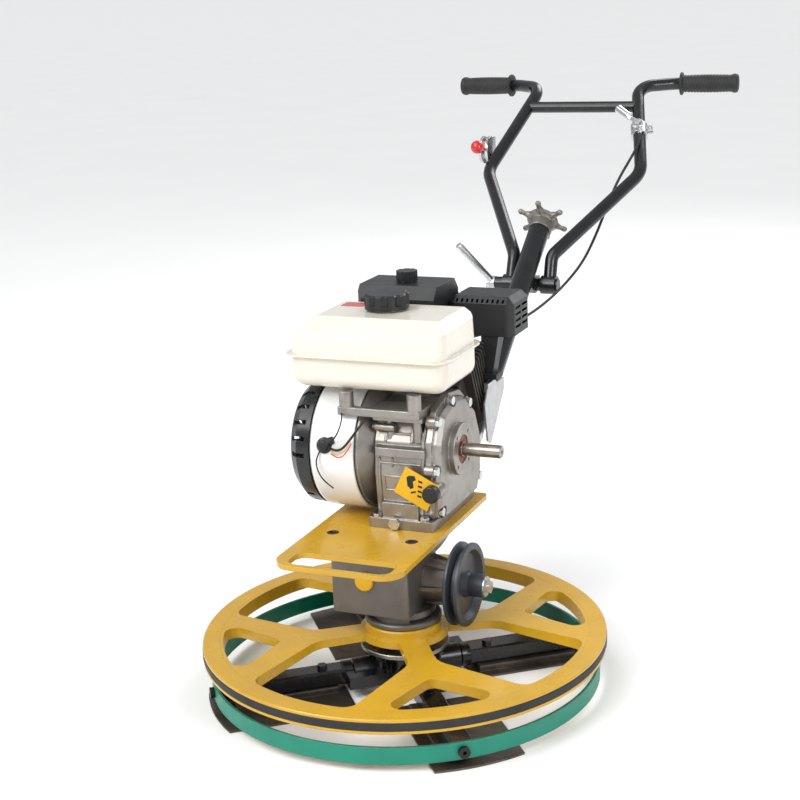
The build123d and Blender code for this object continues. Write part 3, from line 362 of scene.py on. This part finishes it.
# ---- rubber grips with a flange, ribs and a bulged end ----
RIBS = 15
GRIP_R = 16.0
GRIP_SWELL = 0.9
FLANGE = [(12.4, 0), (21.5, 0), (22.5, 1.2), (22.5, 3.8), (21, 5), (17.6, 6.4)]
RIB = [(0, 0), (0.9, 1.2), (1.0, 3.4), (0, 4.6)]
BULB = [(17.6, -12), (18.6, -9.5), (18.6, -5), (17.2, -1.6), (13, 0), (5, 0)]
bm = bmesh.new()
for side in (-1, 1):
    inner = Vector((HANDLE_X + side * 176, 1150.9, 785.9))
    outer = Vector((HANDLE_X + side * 289.5, 1159.4, 785.0))
    length = (outer - inner).length
    profile = list(FLANGE)
    for k in range(RIBS):
        share = k / (RIBS - 1)
        swell = GRIP_R + GRIP_SWELL * math.sin(math.pi * share)
        profile += [(swell + rise, 8 + share * (length - 26) + along) for rise, along in RIB]
    profile += [(radius, length + along) for radius, along in BULB]
    turned(bm, profile, axes(inner, outer - inner), 48)
add("grip_rubbers", to_mesh(bm, "grip_rubbers"), "black_rubber", "handlebar", ("handle_grips",))

# ---- starter rope, a short straight length out of the recoil cover ----
ROPE_HUB = Vector((-180, 132, 325))
ROPE_AIM = Vector((0, *on_circle(1, math.radians(38))))
rope_in, rope_out = ROPE_HUB + ROPE_AIM * 90, ROPE_HUB + ROPE_AIM * 102
bm = bmesh.new()
tube(bm, straight(rope_in, rope_out, 60), 2.0, 12)
rope = place("starter_rope", to_mesh(bm, "starter_rope"), "black_rubber")
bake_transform(rope)

# ---- black heads of two deck screws, with round sockets, set in the two deck holes; their black is painted shade for the dark seen in the holes ----
SCREW = [(0.4, -1.4), (4.1, -1.4), (4.3, 0.1), (7.9, 0.2), (9.1, -0.4), (9.3, -0.9), (9.3, -1.6), (0.4, -1.6)]
bm = bmesh.new()
for x, y in ((-113, 7), (16, 4)):
    turned(bm, SCREW, axes((x, y, DECK_TOP), (0, 0, 1)), 48)
# the black finish on these heads is painted shade standing in for the dark inside the deck holes
add("deck_screws_painted_shade", to_mesh(bm, "deck_screws_painted_shade"), "black_steel", "frame")

# ---- stop switch on the drum ----
SWITCH_BODY = [(1, -5), (12, -5), (12.6, -3), (12.6, 2), (11.6, 4), (8, 5), (7.6, 10), (6.2, 11.4), (1, 11.6)]
SWITCH_NECK = [(1, -3), (6.2, -3), (6.2, 9), (5, 10), (1, 10)]
bm = bmesh.new()
turned(bm, SWITCH_BODY, axes((-132, 33.5, 345), (0.1, -0.97, 0.22)), 40)
turned(bm, SWITCH_NECK, axes((-126, 32.5, 351), (0.93, 0.02, 0.36)), 20)
add("stop_switch", fused(bm, "stop_switch", 0.9, 2), "black_plastic", "frame")

# ---- cast ribs and bosses on the crankcase's front ----
FRONT = [(236, 61.6), (262, 58.6), (300, 55.6), (322, 57.4), (350, 60), (366, 68.5), (382, 77.5)]
UPRIGHT_RIBS = [(-54, 244, 326, 2.6), (-33, 312, 327, 1.8), (17, 244, 380, 3.2), (-2, 350, 382, 3.0),
                (-44, 350, 380, 2.8)]
LEVEL_RIBS = [(318, -54, 17, 2.0), (298, -46, -12, 1.5), (276, -46, -12, 1.5), (250, -50, 14, 1.8),
              (362, -44, 17, 2.4)]
BOSSES = [((-60, 62, 372), (-28, 62, 372), 3, 6.0), ((-64, 62, 372), (-60, 62, 372), 2, 4.2),
          ((8, 62, 352), (8, 62, 390), 4, 7.0), ((-38, 66, 352), (-38, 66, 386), 4, 4.5),
          ((10, 60, 286), (22, 60, 286), 3, 6.5)]


def on_front(x, z):
    """Point on the crankcase's front skin, in metres."""
    for (z0, y0), (z1, y1) in zip(FRONT, FRONT[1:]):
        if z <= z1:
            break
    return Vector((x, y0 + (y1 - y0) * (min(z, z1) - z0) / (z1 - z0), z)) * MM


bm = bmesh.new()
for x, low, high, radius in UPRIGHT_RIBS:
    tube(bm, [on_front(x, low + (high - low) * k / 8) for k in range(9)], radius, 12)
for z, left, right, radius in LEVEL_RIBS:
    tube(bm, [on_front(left + (right - left) * k / 4, z) for k in range(5)], radius, 12)
tube(bm, [on_front(-46, z) for z in (276, 284, 291, 298)], 1.5, 12)
for start, end, steps, radius in BOSSES:
    tube(bm, straight(start, end, steps), radius, 24)
add("case_front_ribs", fused(bm, "case_front_ribs", 1.0, 3), "cast_case", "frame")

# ---- oil tag marks, shapes with no meaning ----
MARKS = [[(-5, 303), (-1, 306), (8, 306), (10, 300), (5, 297), (6, 288), (1, 285), (-4, 290)],
         [(1, 281), (9, 283), (9, 280), (1, 278)]]
BAR = [(0, 0), (6.6, -1.9), (5.9, -5.0), (-0.7, -3.1)]
for k in range(4):
    MARKS.append([(14 - 0.8 * k + x, 300 - 7.6 * k + z) for x, z in BAR])
bm = bmesh.new()
for mark in MARKS:
    prism(bm, [(x, TAG_FACE - 0.14, z) for x, z in mark], [(x, TAG_FACE, z) for x, z in mark])
add("oil_tag_marks", to_mesh(bm, "oil_tag_marks", False), "black_plastic", "frame")

# ---- harness, leads and stop switch wires: name, radius, slot and route, which starts at the exit ----
WIRES = [
    ("harness_run", 1.9, "black_rubber",
     [(-120, 30.5, 341), (-110, 26, 340), (-98, 25, 345), (-86, 27, 360), (-75, 33, 376), (-66, 39, 389)]),
    ("lead_orange", 0.8, "yellow_plastic",
     [(-121, 30.5, 337), (-112, 25, 334), (-101, 22, 337), (-92, 22, 345), (-84, 24, 357)]),
    ("lead_red", 0.8, "red_plastic",
     [(-121, 30.5, 333.5), (-111, 26, 330), (-100, 22, 332), (-90, 20, 341), (-82, 21, 355)]),
    ("stop_wire_upper", 1.1, "black_rubber",
     [(-120, 29, 352), (-111, 24, 360), (-104, 24, 371), (-101, 30, 384), (-104, 40, 393), (-109, 47, 398)]),
    ("stop_wire_lower", 1.1, "black_rubber",
     [(-139, 29, 336), (-143, 24, 326), (-143, 24, 312), (-137, 24, 298), (-128, 27, 287), (-120, 31, 279)]),
]
for name, radius, slot, route in WIRES:
    line = spline_points(route)
    bm = bmesh.new()
    tube(bm, line, radius, 10)
    piece = add(name, to_mesh(bm, name), slot, "frame")

# ---- plain tank label with rounded corners ----
LABEL_X = (-150, -112)
LABEL_Y = (150, 178)
LABEL_Z = (TANK_TOP + 0.02, TANK_TOP + 0.27)
LABEL_CORNER = 3
corners = []
for side_x, side_y, turn in ((1, 1, 0), (0, 1, 90), (0, 0, 180), (1, 0, 270)):
    centre_x = LABEL_X[side_x] + LABEL_CORNER * (1 - 2 * side_x)
    centre_y = LABEL_Y[side_y] + LABEL_CORNER * (1 - 2 * side_y)
    for step in range(5):
        u, v = on_circle(LABEL_CORNER, math.radians(turn + 22.5 * step))
        corners.append((centre_x + u, centre_y + v))
bm = bmesh.new()
prism(bm, *[[(x, y, z) for x, y in corners] for z in LABEL_Z])
add("tank_label", to_mesh(bm, "tank_label", False), "red_plastic", "frame")


# ---- camera, floor and light ----
def look(azimuth, pitch, roll, target_side, target_height, distance):
    """Camera matrix aimed at a point off the rotor axis, all angles in degrees and lengths in metres."""
    az, pt, rl = (math.radians(a) for a in (azimuth, pitch, roll))
    right = Vector((math.cos(az), math.sin(az), 0))
    back = Vector((math.sin(az) * math.cos(pt), -math.cos(az) * math.cos(pt), math.sin(pt)))
    above = back.cross(right)
    spot = right * target_side + UP * target_height + back * distance
    rows = (math.cos(rl) * right - math.sin(rl) * above, math.sin(rl) * right + math.cos(rl) * above, back)
    return Matrix.Translation(spot) @ Matrix(rows).transposed().to_4x4()


def show(name, data):
    """New object in the scene that isn't a piece, such as the camera or a light."""
    item = bpy.data.objects.new(name, data)
    bpy.context.scene.collection.objects.link(item)
    return item


def area_light(name, spot, target, size, power):
    """Square light aimed at a target, in metres and watts."""
    lamp = bpy.data.lights.new(name, "AREA")
    lamp.shape = "SQUARE"
    lamp.size = size
    lamp.energy = power
    item = show(name, lamp)
    item.location = spot
    item.rotation_euler = (Vector(target) - Vector(spot)).to_track_quat("-Z", "Y").to_euler()


lens = bpy.data.cameras.new("camera")
lens.lens = 69.75
lens.sensor_width = 36
lens.clip_end = 400
camera = show("camera", lens)
camera.matrix_world = look(azimuth=23.5, pitch=15.47, roll=2.43, target_side=0.0079, target_height=0.4335,
                           distance=2.2188)
bpy.context.scene.camera = camera

area_light("key", (-1.6, -2.6, 2.6), (0, 0.2, 0.3), 1.6, 50)
area_light("side", (2.6, -1.2, 1.7), (0, 0.2, 0.4), 1.0, 36)
area_light("back", (0.6, 3.0, 2.4), (0, 0.4, 0.4), 1.6, 44)
sun = bpy.data.lights.new("sky_soft", "SUN")
sun.energy = 1.5
sun.angle = math.radians(50)
soft_sky = show("sky_soft", sun)
soft_sky.rotation_euler = (math.radians(32), math.radians(-22), 0)

world = bpy.data.worlds.new("studio")
world.use_nodes = True
sky = world.node_tree.nodes["Background"]
sky.inputs["Color"].default_value = (0.97, 0.98, 1.0, 1)
sky.inputs["Strength"].default_value = 0.55
bpy.context.scene.world = world
bpy.context.scene.view_settings.view_transform = "Standard"

floor_mesh = bpy.data.meshes.new("floor")
reach = FLOOR_HALF
floor_mesh.from_pydata([(-reach, -reach, 0), (reach, -reach, 0), (reach, reach, 0), (-reach, reach, 0)],
                       [], [(0, 1, 2, 3)])
floor = show("floor", floor_mesh)
pale = finish("floor_pale", (0.93, 0.93, 0.925), 0.7, spread=0.01, patch=2, grain=90, bump=0.03)
floor_mesh.materials.append(pale)
